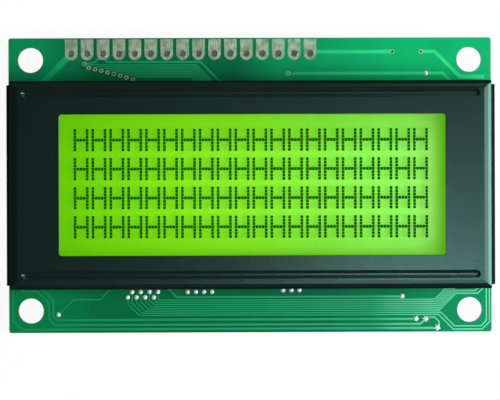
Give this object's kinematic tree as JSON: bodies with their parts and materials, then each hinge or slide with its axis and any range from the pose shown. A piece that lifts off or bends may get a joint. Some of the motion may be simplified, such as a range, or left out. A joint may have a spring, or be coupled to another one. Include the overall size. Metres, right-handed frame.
{
  "type": "character lcd module",
  "caption": "Character display module: yellow-green dot-matrix screen under a black folded steel bezel on a green circuit board with a row of plated terminals and mounting holes.",
  "frame": {"origin": "centre of the outline, at the tips of the bezel's tabs, on which the module rests", "axes": "+X along the board's long side, +Y towards the edge with the terminals, +Z out of the screen"},
  "size_m": [0.077, 0.047, 0.013],
  "materials": {
    "solder_mask": "glossy green solder mask over glass-epoxy board",
    "mask_over_copper": "solder mask over copper lines",
    "tinned_lands": "tinned copper, dull",
    "solder": "bright solder",
    "gold_lands": "gold-flashed copper",
    "black_paint": "semi-gloss black paint on steel",
    "polariser": "satin polarising film",
    "glass": "clear glass",
    "dark_dots": "switched liquid crystal",
    "seal": "cured sealant",
    "reflector": "satin film",
    "diffuser": "translucent acrylic",
    "white_plastic": "moulded white plastic",
    "led_board": "white solder mask",
    "led_die": "LED die",
    "elastomer": "silicone elastomer",
    "epoxy": "cast black epoxy",
    "resistor_body": "glazed ceramic",
    "capacitor_body": "fired ceramic"
  },
  "bodies": {
    "root": {"circuit_board": "solder_mask", "terminal_lands": "tinned_lands", "open_vias": "tinned_lands", "filled_vias": "solder", "front_tracks": "mask_over_copper", "rear_tracks": "mask_over_copper", "contact_fingers": "gold_lands", "bezel": "black_paint", "front_polariser": "polariser", "front_glass": "glass", "display_dots": "dark_dots", "cell_seal": "seal", "fill_plug": "seal", "rear_glass": "glass", "rear_polariser": "reflector", "diffuser": "diffuser", "backlight_frame": "white_plastic", "led_board": "led_board", "led_dice": "led_die", "backlight_pins": "solder", "pin_solder": "solder", "upper_contact_strip": "elastomer", "lower_contact_strip": "elastomer", "controller_cap": "epoxy", "left_driver_cap": "epoxy", "right_driver_cap": "epoxy", "chip_resistors": "resistor_body", "chip_capacitors": "capacitor_body", "chip_solder": "solder"}
  },
  "joints": []
}
